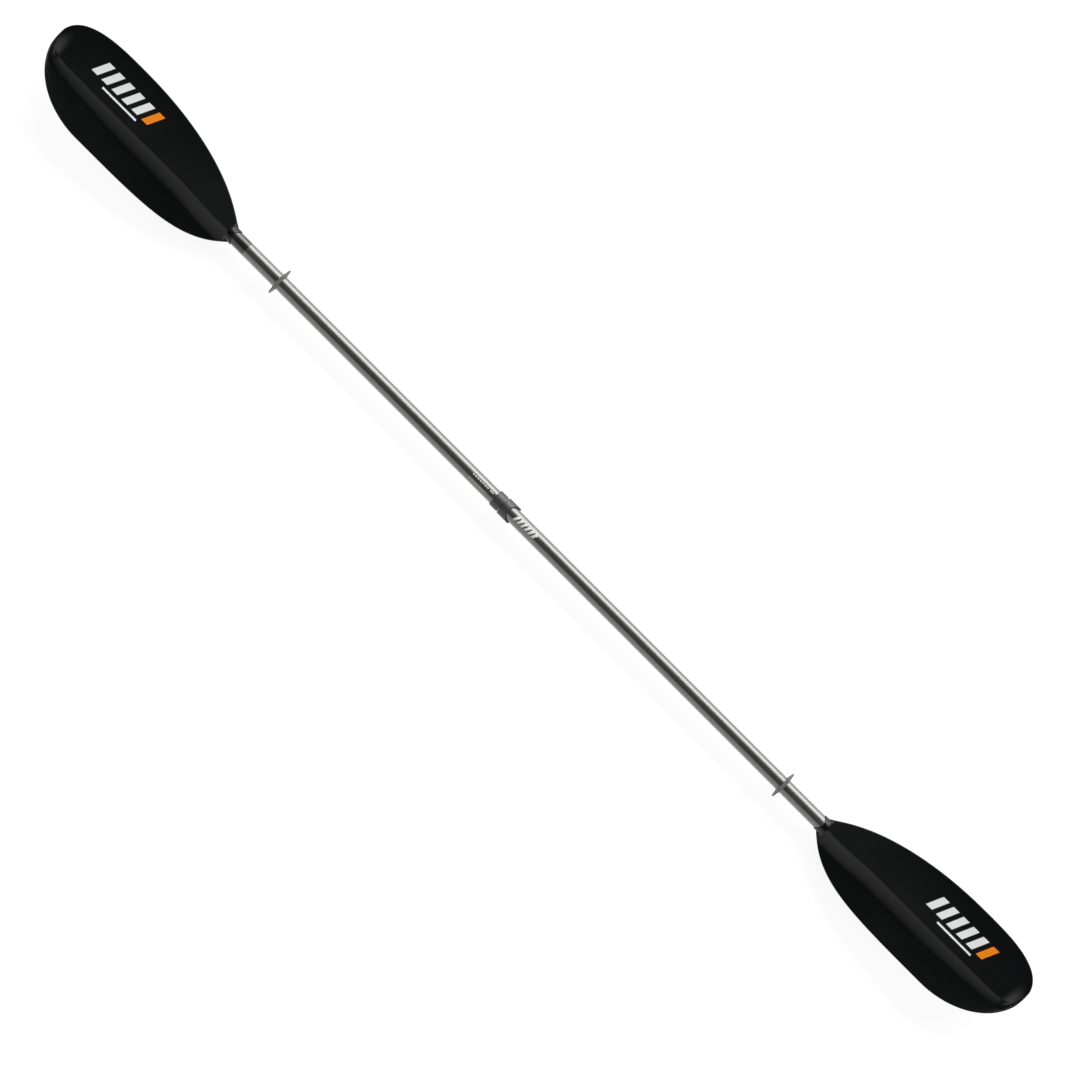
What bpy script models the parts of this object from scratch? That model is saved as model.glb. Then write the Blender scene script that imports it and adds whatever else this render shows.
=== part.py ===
"""A two-piece touring kayak paddle, 2.4 m long, in metres.

The frame: the origin lies on the shaft's axis, halfway between the blade tips. +X runs along the shaft to
the right blade, +Y to the blades' longer edge, and +Z out of the power faces. Both blades are square to each
other (no feather) and the two halves are pushed together.
"""

import math

import bpy
import numpy as np
from mathutils import Matrix

MM = 0.001
GAP = 0.3 * MM

# Shaft
PADDLE_LENGTH = 2400 * MM
SHAFT_RADIUS = 14.25 * MM
SHAFT_WALL = 1.4 * MM
SHAFT_SIDES = 24
PLUG_LENGTH = 20 * MM
PLUG_VENT = 1.5 * MM

# Blade: lengths run from the neck's lip to the tip
NECK_LIP = 728 * MM
NECK_RADIUS = 15.6 * MM
NECK_STRAIGHT = 9 * MM
LIP_CUT = 8 * MM
LIP_FADE = 26 * MM
LIP_POWER = 1.4
SOCKET_DEPTH = 52 * MM
BLADE_LENGTH = PADDLE_LENGTH / 2 - NECK_LIP
TIP_ROUND = 150 * MM
TIP_OFFSET = 34 * MM
UPPER_WIDTH = 95.5 * MM
LOWER_WIDTH = 75.6 * MM
NECK_MEET = 8 * MM
TIP_RISE = 28 * MM
SHEET = 1.4 * MM
EDGE_CUP = 5 * MM
NECK_LIFT = 3 * MM
FOLD_RUN = (10 * MM, 19 * MM)
CREST_OFFSET = 4 * MM
RIDGE_HEIGHT = 12.5 * MM
RIDGE_STEEP = 30 * MM
RIDGE_SHALLOW = 85 * MM
CREST = 1.8 * MM

# Ferrule: the parting line lies left of the middle, where the collars share a V notch on each side
PARTING = -62.5 * MM
FACE_GAP = 0.6 * MM
INDEX_LENGTH = 19.2 * MM
INDEX_RADIUS = 16.4 * MM
SOCKET_LENGTH = 29.1 * MM
SOCKET_RADIUS = 17.6 * MM
SOCKET_BEVEL = 0.5 * MM
NOTCH_RADIUS = (15 * MM, 15.6 * MM)
NOSE_RADIUS = 15 * MM
NOTCH_HALF_WIDTH = 2.3 * MM
COLLAR_CHAMFER = 1.4 * MM
MOUTH_DEPTH = 14.7 * MM
COLLAR_SIDES = 36

# Tenon, bonded in the left shaft and sliding in the right one
TENON_RADIUS = 11 * MM
TENON_BORE = 8.5 * MM
TENON_ROOT = 60 * MM
TENON_REACH = 90 * MM
LAND_RADIUS = 12.4 * MM
TENON_CHAMFER = (2 * MM, 1 * MM)
CLICK_DEPTH = 0.5 * MM
CLICKS = 24
FLANGE = 2.4 * MM
O_RING_RADIUS = 0.65 * MM
O_RING_PLACES = (17 * MM, 78 * MM)
O_RING_GROOVE = (2 * MM, 1.5 * MM)
LATCH_GROOVE_DEPTH = 0.8 * MM
LINER_EXTRA = 8 * MM

# Keys on the index collar that turn the right half with it
KEY_INNER = 13.6 * MM
KEY_OUTER = 14.8 * MM
KEY_HALF_WIDTH = 1.75 * MM
KEY_REACH = 1.9 * MM
KEY_ROOT = 1 * MM
KEY_RECESS = 13.4 * MM
SLOT_INNER = 13.2 * MM
SLOT_HALF_WIDTH = 2.1 * MM

# Push-button latch in the right collar, on the back of the paddle
BUTTON_TRAVEL = 1.6 * MM
BUTTON_WIDTH = 9.2 * MM
BUTTON_LENGTH = 4.8 * MM
BUTTON_PROUD = 1.3 * MM
PLATE_THICKNESS = 2.4 * MM
PLATE_OUTER = 13.9 * MM
PLATE_INNER = 12.2 * MM
POCKET_RADIUS = 15.3 * MM
SPRING_HALF_LENGTH = 5.5 * MM
SPRING_THICKNESS = 0.35 * MM
OVERSHOOT = 1 * MM

# Drip rings
LEFT_RING_X = -620 * MM
RIGHT_RING_X = 637 * MM
RING_RADIUS = 28 * MM
RING_HUB_LENGTH = 7 * MM
RING_HUB_RADIUS = 17.2 * MM
RING_LIP = 1.1 * MM
RING_WEB = 2.2 * MM

# Faces along the ferrule, worked out from the sizes above
INDEX_FACE = PARTING - FACE_GAP / 2
INDEX_START = INDEX_FACE - INDEX_LENGTH
SOCKET_FACE = PARTING + FACE_GAP / 2
SOCKET_END = SOCKET_FACE + SOCKET_LENGTH
FLANGE_START = INDEX_START + 6 * MM
LAND_START = FLANGE_START + FLANGE
LAND_END = INDEX_FACE + 0.1 * MM
RETAINER_X = INDEX_FACE - 1.8 * MM
RETAINER = (1.0 * MM, 1.8 * MM)
DETENT_X = LAND_START + 3.9 * MM
DETENT = (2.0 * MM, 0.4 * MM)
DETENT_RADIUS = 13.9 * MM
LATCH_X = SOCKET_FACE + 3.6 * MM
NOSE_LENGTH = 2 * MM
POCKET_END = SOCKET_FACE + 7.8 * MM
LINER_FLANGE = 2 * MM
LINER_BORE = TENON_RADIUS + 0.5 * MM

COLOURS = {
    "blade": ((0.006, 0.007, 0.009, 1), 0.42, 0.0),
    "carbon": ((0.035, 0.035, 0.034, 1), 0.2, 0.0),
    "collar": ((0.03, 0.03, 0.032, 1), 0.5, 0.0),
    "rubber": ((0.06, 0.06, 0.06, 1), 0.6, 0.0),
    "nylon": ((0.02, 0.02, 0.02, 1), 0.45, 0.0),
    "foam": ((0.55, 0.55, 0.52, 1), 0.9, 0.0),
    "steel": ((0.55, 0.55, 0.56, 1), 0.3, 1.0),
    "button": ((0.35, 0.05, 0.02, 1), 0.45, 0.0),
}


def clear_scene():
    for thing in list(bpy.data.objects):
        bpy.data.objects.remove(thing, do_unlink=True)


def material(finish):
    colour, roughness, metallic = COLOURS[finish]
    made = bpy.data.materials.get(finish) or bpy.data.materials.new(finish)
    made.use_nodes = True
    shader = made.node_tree.nodes["Principled BSDF"]
    shader.inputs["Base Color"].default_value = colour
    shader.inputs["Roughness"].default_value = roughness
    shader.inputs["Metallic"].default_value = metallic
    return made


def place(name, points, faces, finish, pivot=(0, 0, 0), parent=None):
    """One object from world-space points, with its origin at the pivot that it turns or slides from."""
    mesh = bpy.data.meshes.new(name)
    mesh.from_pydata([tuple(p) for p in np.asarray(points) - pivot], [], faces)
    mesh.materials.append(material(finish))
    mesh.shade_smooth()
    mesh.set_sharp_from_angle(angle=math.radians(35))
    thing = bpy.data.objects.new(name, mesh)
    thing.location = pivot
    bpy.context.scene.collection.objects.link(thing)
    if parent:
        bpy.context.view_layer.update()
        thing.parent = parent
        thing.matrix_parent_inverse = parent.matrix_world.inverted()
    return thing


def loop_faces(rows, columns, wrap_rows):
    """Quads between neighbouring rings of points, where every ring closes on itself."""
    faces = []
    for i in range(rows if wrap_rows else rows - 1):
        for j in range(columns):
            a, b = i * columns, (i + 1) % rows * columns
            k = (j + 1) % columns
            faces.append((a + j, a + k, b + k, b + j))
    return faces


def turned(name, outline, finish, sides=SHAFT_SIDES, mouth=None, clicks=None, notch=None, **where):
    """A closed outline of (x, radius) corners turned about the X axis, its inner side first.

    mouth(corner) is the depth of the fish-mouth cut at that corner. The cut follows the 0.8th power of the
    cosine of the angle from the front. clicks(corner) is how far the corner's radius drops on every second
    side, which gives the tenon its index notches. notch(corner) is how far the corner drops at +Y and -Y, by
    the 8th power of the sine of the angle.
    """
    angles = np.arange(sides) * 2 * math.pi / sides
    points = []
    for corner, (x, radius) in enumerate(outline):
        cut_back = np.maximum(np.cos(angles), 0) ** 0.8 * (mouth(corner) if mouth else 0)
        ring = radius - (np.arange(sides) % 2) * (clicks(corner) if clicks else 0)
        ring = ring - np.sin(angles) ** 8 * (notch(corner) if notch else 0)
        points.append(np.stack([x - cut_back, ring * np.sin(angles), ring * np.cos(angles)], 1))
    return place(name, np.concatenate(points), loop_faces(len(outline), sides, True), finish, **where)


def tube(name, start, end, inner, outer, finish, **more):
    return turned(name, [(start, inner), (end, inner), (end, outer), (start, outer)], finish, **more)


def open_ring(name, section, radius_at, centre_x, gap_degrees, finish, steps=40, **where):
    """A split ring: a rectangular section (width along X, height) carried round the X axis, with a gap."""
    half_gap = math.radians(gap_degrees) / 2
    angles = np.linspace(half_gap, 2 * math.pi - half_gap, steps)
    width, height = section
    corners = [(-width / 2, 0), (width / 2, 0), (width / 2, height), (-width / 2, height)]
    rows = []
    for angle in angles:
        for x, rise in corners:
            radius = radius_at(angle) + rise
            rows.append((centre_x + x, radius * math.sin(angle), radius * math.cos(angle)))
    faces = loop_faces(steps, 4, False)
    faces += [(3, 2, 1, 0), tuple(range(4 * steps - 4, 4 * steps))]
    return place(name, rows, [face[::-1] for face in faces], finish, **where)


def block(name, low, high, finish, **where):
    points = [(x, y, z) for x in (low[0], high[0]) for y in (low[1], high[1]) for z in (low[2], high[2])]
    faces = [(0, 1, 3, 2), (4, 6, 7, 5), (0, 4, 5, 1), (2, 3, 7, 6), (0, 2, 6, 4), (1, 5, 7, 3)]
    return place(name, points, faces, finish, **where)


def cut(target, cutter, operation="DIFFERENCE"):
    cutter.hide_render = True
    cutter.display_type = "WIRE"
    change = target.modifiers.new(cutter.name, "BOOLEAN")
    change.operation = operation
    change.object = cutter


def bevel(target, width, segments=2):
    rounding = target.modifiers.new("Rounded edges", "BEVEL")
    rounding.width = width
    rounding.segments = segments
    rounding.limit_method = "ANGLE"
    rounding.angle_limit = math.radians(40)


# ---- blades ----


def fade(value, start, end):
    """Smooth step from 0 at start to 1 at end."""
    t = np.clip((value - start) / (end - start), 0, 1)
    return t * t * (3 - 2 * t)


def blade_edges(along):
    """(upper, lower) y of the blade's edges at a distance from the lip.

    Toward the tip each edge is a quarter of a superellipse about the tip's own point. Toward the neck it
    falls from its widest by two powers of the distance, and it never gets narrower than the neck.
    """
    from_tip = BLADE_LENGTH - along
    bow = np.clip(1 - from_tip / TIP_ROUND, 0, 1)
    upper_tip = TIP_OFFSET + (UPPER_WIDTH - TIP_OFFSET) * (1 - bow**3.1) ** (1 / 2.4)
    lower_tip = TIP_OFFSET - (LOWER_WIDTH + TIP_OFFSET) * (1 - bow**2) ** 0.5
    run = np.clip((from_tip - TIP_ROUND) / (BLADE_LENGTH - TIP_ROUND), 0, 1)
    upper = UPPER_WIDTH - (UPPER_WIDTH - NECK_MEET) * (0.8 * run**2.2 + 0.2 * run**6)
    lower = LOWER_WIDTH - (LOWER_WIDTH - NECK_MEET) * (0.65 * run**4 + 0.35 * run**8)
    near_tip = from_tip < TIP_ROUND
    return (
        np.where(near_tip, upper_tip, np.maximum(upper, NECK_RADIUS)),
        np.where(near_tip, lower_tip, -np.maximum(lower, NECK_RADIUS)),
    )


def fillet(off, start, end):
    """A concave skirt that is 1 at start and runs out flat at end."""
    return np.clip((end - off) / (end - start), 0, 1.2) ** 2


def blade_section(along, around):
    """One ring of the blade's skin: the angles around run across the power face, then back behind it.

    The neck is a circle at the lip. Past it the section is a sheet of even thickness, folded to a crest on
    the power face: it falls steeply toward the shorter edge and gently toward the longer one. A round spine
    stands on the back and sinks into the sheet toward the tip. The face rises to the tip and its edges cup
    forward. Points crowd toward the crest.
    """
    part = along / BLADE_LENGTH
    upper, lower = blade_edges(along)
    ridge_y = CREST_OFFSET * fade(along, SOCKET_DEPTH, 0.3 * BLADE_LENGTH)
    ridge_y = ridge_y + (TIP_OFFSET - ridge_y) * part**40
    turn = np.sin(around)
    front = np.cos(around) > 0
    width = np.where(turn > 0, upper - ridge_y, ridge_y - lower)
    crowd = 0.62 * fade(width, NECK_RADIUS, 2.5 * NECK_RADIUS)
    side = turn * (1 - crowd * (1 - turn**2))
    y = ridge_y + width * side
    off = width * np.abs(side)

    folded = fade(along, *FOLD_RUN)
    taper = (1 - 0.3 * fade(part, 0.5, 1)) * (1 - fade(part, 0.93, 1.0))
    neck_height = NECK_RADIUS + CREST - SHEET - NECK_LIFT
    height = neck_height + (RIDGE_HEIGHT - neck_height) * fade(along, SOCKET_DEPTH, 0.3 * BLADE_LENGTH)
    foot = np.where(turn > 0, RIDGE_SHALLOW, RIDGE_STEEP * (1 - 0.3 * fade(part, 0.5, 1)))
    fold = height * taper * (1 - np.clip(off / foot, 0, 1)) ** 1.15
    rise = (TIP_RISE - NECK_LIFT) * fade(part, 0.08, 1.25) / fade(1.0, 0.08, 1.25)
    cup = EDGE_CUP * fade(part, 0.12, 0.5) * ((y - ridge_y) / np.maximum(width, NECK_RADIUS)) ** 2
    middle = folded * (NECK_LIFT + fold) + rise + cup

    sheet = SHEET * np.sqrt(1 - (1 - np.clip((width - off) / SHEET, 0, 1)) ** 2)
    circle = NECK_RADIUS * np.sqrt(1 - np.clip(off / NECK_RADIUS, 0, 1) ** 2)
    top = (1 - folded) * circle + folded * sheet

    sink = fade(along, SOCKET_DEPTH, 0.62 * BLADE_LENGTH)
    spine_width = np.minimum(NECK_RADIUS * (1 + 0.4 * folded), width)
    spine = (middle - rise + NECK_RADIUS) * (1 - sink) * np.sqrt(1 - np.clip(off / spine_width, 0, 1) ** 2)
    room = fade(width, NECK_RADIUS, 1.6 * NECK_RADIUS)
    root = 0.4 * NECK_RADIUS * (1 - sink) * room * fillet(off, 0.6 * spine_width, 1.6 * spine_width)
    power = 4
    back = (spine**power + (folded * sheet) ** power + root**power) ** (1 / power)
    cut_back = LIP_CUT * (1 - np.abs(turn) ** LIP_POWER) * (1 - np.clip(along / LIP_FADE, 0, 1))
    return np.stack([along + cut_back, y, np.where(front, middle + top, middle - back)], 1)


def blade(name, end, sides=32, stations=24, **where):
    """The moulded blade. end is +1 for the right one and -1 for the left one, its mirror image."""
    spread = np.linspace(0, 1, stations)
    neck = [*np.linspace(0, NECK_STRAIGHT, 3), *np.linspace(*FOLD_RUN, 4)[1:]]
    body = NECK_STRAIGHT + (BLADE_LENGTH - NECK_STRAIGHT) * np.sin(spread[1:-1] * math.pi / 2) ** 1.15
    widest = BLADE_LENGTH - TIP_ROUND
    around = (np.arange(sides) / sides * 2 - 0.5) * math.pi
    rings = [blade_section(a, around) for a in np.sort([*neck, *body, widest])]
    bore = SHAFT_RADIUS + GAP
    mouth = LIP_CUT * (1 - np.abs(np.sin(around)) ** LIP_POWER)
    lip = np.stack([mouth, bore * np.sin(around), bore * np.cos(around)], 1)
    floor = np.stack([np.full(sides, SOCKET_DEPTH), bore * np.sin(around), bore * np.cos(around)], 1)
    tip = np.array([[BLADE_LENGTH, TIP_OFFSET, TIP_RISE]])
    points = np.concatenate([floor, lip, *rings, tip, [[SOCKET_DEPTH, 0, 0]]])
    last = len(points) - 2
    faces = loop_faces(2 + len(rings), sides, False)
    for j in range(sides):
        k = (j + 1) % sides
        faces.append((last - sides + j, last - sides + k, last))
        faces.append((k, j, last + 1))
    points[:, 0] = end * (NECK_LIP + points[:, 0])
    if end > 0:
        faces = [face[::-1] for face in faces]
    return place(name, points, faces, "blade", **where)


# ---- shaft halves ----


def shaft(name, start, end, **where):
    inner = SHAFT_RADIUS - SHAFT_WALL
    steps = np.linspace(start, end, 5)
    outline = [(x, inner) for x in steps] + [(x, SHAFT_RADIUS) for x in steps[::-1]]
    return turned(name, outline, "carbon", **where)


def plug(name, start, length, **where):
    """A foam bulkhead that keeps water out of the shaft, with a small vent hole along its axis."""
    radius = SHAFT_RADIUS - SHAFT_WALL - 1.5 * GAP
    return tube(name, start, start + length, PLUG_VENT, radius, "foam", sides=16, **where)


# ---- ferrule ----


def groove(centre, width, floor, radius):
    """Corners of a ring-shaped groove in a turned outer wall, walked toward -X."""
    return [(centre + width / 2, radius), (centre + width / 2, floor), (centre - width / 2, floor),
            (centre - width / 2, radius)]


def tenon(**where):
    """The male ferrule: its root is bonded in the left shaft, and its nose slides into the right one."""
    tip = PARTING + TENON_REACH
    root_radius = SHAFT_RADIUS - SHAFT_WALL - GAP
    outline = [(FLANGE_START - TENON_ROOT, TENON_BORE), (tip, TENON_BORE)]
    outline += [(tip, TENON_RADIUS - TENON_CHAMFER[1]), (tip - TENON_CHAMFER[0], TENON_RADIUS)]
    for place_x in O_RING_PLACES[::-1]:
        outline += groove(PARTING + place_x, O_RING_GROOVE[0], TENON_RADIUS - O_RING_GROOVE[1], TENON_RADIUS)
    latch_groove = PLATE_THICKNESS + 1 * MM
    outline += groove(LATCH_X, latch_groove, TENON_RADIUS - LATCH_GROOVE_DEPTH, TENON_RADIUS)
    outline += [(LAND_END, TENON_RADIUS), (LAND_END, LAND_RADIUS)]
    outline += groove(RETAINER_X, RETAINER[0] + 2 * GAP, TENON_RADIUS - 0.1 * MM, LAND_RADIUS)
    first_notch = len(outline)
    outline += [(RETAINER_X - 1.5 * MM, LAND_RADIUS), (LAND_START, LAND_RADIUS)]
    outline += [(LAND_START, SHAFT_RADIUS), (FLANGE_START, SHAFT_RADIUS), (FLANGE_START, root_radius)]
    outline += [(FLANGE_START - TENON_ROOT, root_radius)]
    notched = (first_notch, first_notch + 1)
    return turned("tenon", outline, "nylon", sides=2 * CLICKS,
                  clicks=lambda corner: CLICK_DEPTH if corner in notched else 0, **where)


def o_ring(name, centre, **where):
    """A rubber ring in a groove of the tenon: a six-sided section turned about the shaft's axis."""
    middle = TENON_RADIUS - 0.5 * MM
    turns = np.arange(6) * math.pi / 3
    outline = [(centre - O_RING_RADIUS * math.sin(t), middle - O_RING_RADIUS * math.cos(t)) for t in turns]
    return turned(name, outline[::-1], "rubber", **where)


def index_collar(**where):
    """The left visible collar: it turns on the tenon, and its two keys turn the right half with it."""
    skirt = SHAFT_RADIUS + 1.2 * GAP
    bearing = LAND_RADIUS + 1.2 * GAP
    recess = RETAINER_X - RETAINER[0] / 2 - GAP
    half = DETENT[0] / 2 + GAP
    outline = [(INDEX_START, skirt), (LAND_START + 0.4 * MM, skirt), (LAND_START + 0.4 * MM, bearing)]
    outline += [(DETENT_X - half, bearing), (DETENT_X - half, skirt), (DETENT_X + half, skirt)]
    outline += [(DETENT_X + half, bearing), (recess, bearing), (recess, KEY_RECESS), (INDEX_FACE, KEY_RECESS)]
    notched = len(outline)
    outline += [(INDEX_FACE, INDEX_RADIUS), (INDEX_FACE - NOTCH_HALF_WIDTH + FACE_GAP / 2, INDEX_RADIUS)]
    outline += [(INDEX_START + COLLAR_CHAMFER, INDEX_RADIUS), (INDEX_START, INDEX_RADIUS - COLLAR_CHAMFER)]
    depth = INDEX_RADIUS - NOTCH_RADIUS[0]
    collar = turned("index_collar", outline, "collar", sides=COLLAR_SIDES,
                    notch=lambda corner: depth if corner == notched else 0, **where)
    for side in (-1, 1):
        near, far = sorted((side * KEY_INNER, side * KEY_OUTER))
        low = (INDEX_FACE - KEY_ROOT, near, -KEY_HALF_WIDTH)
        high = (INDEX_FACE + KEY_REACH, far, KEY_HALF_WIDTH)
        key = block("key_left" if side < 0 else "key_right", low, high, "collar")
        cut(collar, key, "UNION")
    return collar


def detent_ring(**where):
    """A split spring ring in the index collar, with one inward bump that clicks over the tenon's notches."""
    def radius_at(angle):
        return DETENT_RADIUS - 1.2 * MM * math.exp(-(((angle - math.pi) / math.radians(7)) ** 2))
    return open_ring("detent_ring", DETENT, radius_at, DETENT_X, 50, "steel", steps=49, **where)


def collar_retainer(**where):
    """The split snap ring on the tenon that keeps the index collar from sliding off."""
    inner = TENON_RADIUS + 0.2 * MM
    return open_ring("collar_retainer", RETAINER, lambda angle: inner, RETAINER_X, 60, "steel", **where)


def socket_collar(**where):
    """The right visible collar. Its far end is cut back on the front like a fish's mouth."""
    bore = SHAFT_RADIUS + GAP
    edge = SOCKET_END - COLLAR_CHAMFER
    outline = [(SOCKET_FACE, POCKET_RADIUS), (POCKET_END, POCKET_RADIUS), (POCKET_END, bore)]
    outline += [(SOCKET_END, bore), (SOCKET_END, SOCKET_RADIUS - COLLAR_CHAMFER), (edge, SOCKET_RADIUS)]
    outline += [(SOCKET_FACE + NOTCH_HALF_WIDTH - FACE_GAP / 2, SOCKET_RADIUS)]
    outline += [(SOCKET_FACE, SOCKET_RADIUS - SOCKET_BEVEL)]
    follows, notched = (3, 4, 5), 7
    depth = SOCKET_RADIUS - SOCKET_BEVEL - NOTCH_RADIUS[1]
    collar = turned("socket_collar", outline, "collar", sides=COLLAR_SIDES,
                    mouth=lambda corner: MOUTH_DEPTH if corner in follows else 0,
                    notch=lambda corner: depth if corner == notched else 0, **where)
    window = button_box(GAP)
    opening = block("button_window", (window[0][0], window[0][1], -SOCKET_RADIUS - 3 * MM),
                    (window[1][0], window[1][1], -PLATE_OUTER), "collar")
    cut(collar, opening)
    return collar


def nose_ring(**where):
    """The ring that closes the latch pocket, with two notches for the index collar's keys."""
    ring = tube("nose_ring", SOCKET_FACE, SOCKET_FACE + NOSE_LENGTH, LINER_BORE, NOSE_RADIUS, "collar",
                sides=COLLAR_SIDES, **where)
    start = SOCKET_FACE - OVERSHOOT
    end = SOCKET_FACE + NOSE_LENGTH + OVERSHOOT
    reach = POCKET_RADIUS + OVERSHOOT
    notch = block("key_notches", (start, -reach, -SLOT_HALF_WIDTH), (end, reach, SLOT_HALF_WIDTH), "collar")
    core = tube("key_notch_core", start - OVERSHOOT, end + OVERSHOOT, OVERSHOOT, SLOT_INNER, "collar",
                sides=COLLAR_SIDES)
    cut(notch, core)
    cut(ring, notch)
    return ring


def socket_liner(**where):
    """The flanged sleeve in the right shaft that the tenon slides in."""
    start = POCKET_END + GAP
    outer = SHAFT_RADIUS - SHAFT_WALL - GAP
    end = PARTING + TENON_REACH + LINER_EXTRA
    outline = [(start, LINER_BORE), (end, LINER_BORE), (end, outer), (start + LINER_FLANGE, outer)]
    outline += [(start + LINER_FLANGE, SHAFT_RADIUS), (start, SHAFT_RADIUS)]
    return turned("socket_liner", outline, "nylon", **where)


def button_box(extra=0.0):
    """The push button's corners in x and y, at the latch, grown by extra on each side."""
    start = LATCH_X - PLATE_THICKNESS / 2
    return (
        (start - extra, -BUTTON_WIDTH / 2 - extra),
        (start + BUTTON_LENGTH + extra, BUTTON_WIDTH / 2 + extra),
    )


def lock_button(**where):
    """The push button's pad: its outer face is curved with the collar and stands a little proud of it."""
    low, high = button_box()
    inner = -PLATE_OUTER - BUTTON_TRAVEL / 2 - GAP
    columns = np.linspace(low[1], high[1], 9)
    crown = -np.sqrt((SOCKET_RADIUS + BUTTON_PROUD) ** 2 - columns**2)
    outline = [(y, inner) for y in columns[[0, -1]]] + list(zip(columns[::-1], crown[::-1]))
    points = [(x, y, z) for x in (low[0], high[0]) for y, z in outline]
    count = len(outline)
    faces = [tuple(range(count)), tuple(range(2 * count - 1, count - 1, -1))]
    faces += [((j + 1) % count, j, count + j, count + (j + 1) % count) for j in range(count)]
    pad = place("lock_button", points, faces, "button", **where)
    bevel(pad, 0.5 * MM)
    return pad


def latch_plate(**where):
    """The steel ring round the tenon that the button moves. At rest it sits off centre, to the back."""
    plate = tube("latch_plate", LATCH_X - PLATE_THICKNESS / 2, LATCH_X + PLATE_THICKNESS / 2, PLATE_INNER,
                 PLATE_OUTER, "steel", sides=COLLAR_SIDES, **where)
    plate.data.transform(Matrix.Translation((0, 0, -BUTTON_TRAVEL / 2)))
    return plate


def button_spring(**where):
    """The leaf spring between the plate's front and the collar, which pushes the button out again."""
    foot = PLATE_OUTER - BUTTON_TRAVEL / 2 + GAP
    half = PLATE_THICKNESS / 2 - 0.2 * MM
    low = (LATCH_X - half, -SPRING_HALF_LENGTH, foot)
    high = (LATCH_X + half, SPRING_HALF_LENGTH, foot + SPRING_THICKNESS)
    return block("button_spring", low, high, "steel", **where)


def drip_ring(name, centre, **where):
    """A rubber washer with a short hub and a thin flared lip that stops water running down the shaft."""
    hub = RING_HUB_LENGTH / 2
    bore = SHAFT_RADIUS + GAP
    shoulder = RING_HUB_RADIUS - 1 * MM
    foot = RING_HUB_RADIUS + 2 * MM
    outline = [(-hub, bore), (hub, bore), (hub, shoulder), (RING_WEB, foot)]
    outline += [(RING_LIP, RING_RADIUS - RING_LIP), (0, RING_RADIUS), (-RING_LIP, RING_RADIUS - RING_LIP)]
    outline += [(-RING_WEB, foot), (-hub, shoulder)]
    outline = [(centre + x, radius) for x, radius in outline]
    return turned(name, outline, "rubber", sides=32, pivot=(centre, 0, 0), **where)


def main():
    clear_scene()
    ferrule_end = FLANGE_START - GAP
    left_shaft = shaft("left_shaft", -NECK_LIP - SOCKET_DEPTH + GAP, ferrule_end)
    blade("left_blade", -1, parent=left_shaft)
    plug("left_blade_plug", -NECK_LIP - SOCKET_DEPTH + 2 * MM, PLUG_LENGTH, parent=left_shaft)
    tenon_root = FLANGE_START - TENON_ROOT
    plug("left_ferrule_plug", tenon_root - 2 * MM - PLUG_LENGTH, PLUG_LENGTH, parent=left_shaft)
    tenon(parent=left_shaft)
    o_ring("rear_o_ring", PARTING + O_RING_PLACES[0], parent=left_shaft)
    o_ring("front_o_ring", PARTING + O_RING_PLACES[1], parent=left_shaft)
    collar_retainer(parent=left_shaft)
    drip_ring("left_drip_ring", LEFT_RING_X, parent=left_shaft)

    dial = index_collar(pivot=(PARTING, 0, 0), parent=left_shaft)
    detent_ring(parent=dial)

    liner_start = POCKET_END + GAP
    right_start = liner_start + LINER_FLANGE + GAP
    right_shaft = shaft("right_shaft", right_start, NECK_LIP + SOCKET_DEPTH - GAP, parent=dial)
    socket_liner(parent=right_shaft)
    socket_collar(parent=right_shaft)
    nose_ring(parent=right_shaft)
    button_spring(parent=right_shaft)
    press = lock_button(pivot=(LATCH_X, 0, -SOCKET_RADIUS), parent=right_shaft)
    latch_plate(parent=press)
    plug("right_ferrule_plug", PARTING + TENON_REACH + 12 * MM, PLUG_LENGTH, parent=right_shaft)
    plug("right_blade_plug", NECK_LIP + SOCKET_DEPTH - 2 * MM - PLUG_LENGTH, PLUG_LENGTH, parent=right_shaft)
    blade("right_blade", 1, parent=right_shaft)
    drip_ring("right_drip_ring", RIGHT_RING_X, parent=right_shaft)


main()
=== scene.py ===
"""The looks of a two-piece kayak paddle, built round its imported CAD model.

The frame is the model's: metres, +X along the shaft to the right blade, +Y to the blades' longer edge, and +Z
out of their power faces. Lengths on a blade run from its neck's lip to its tip.
"""

import math

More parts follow.
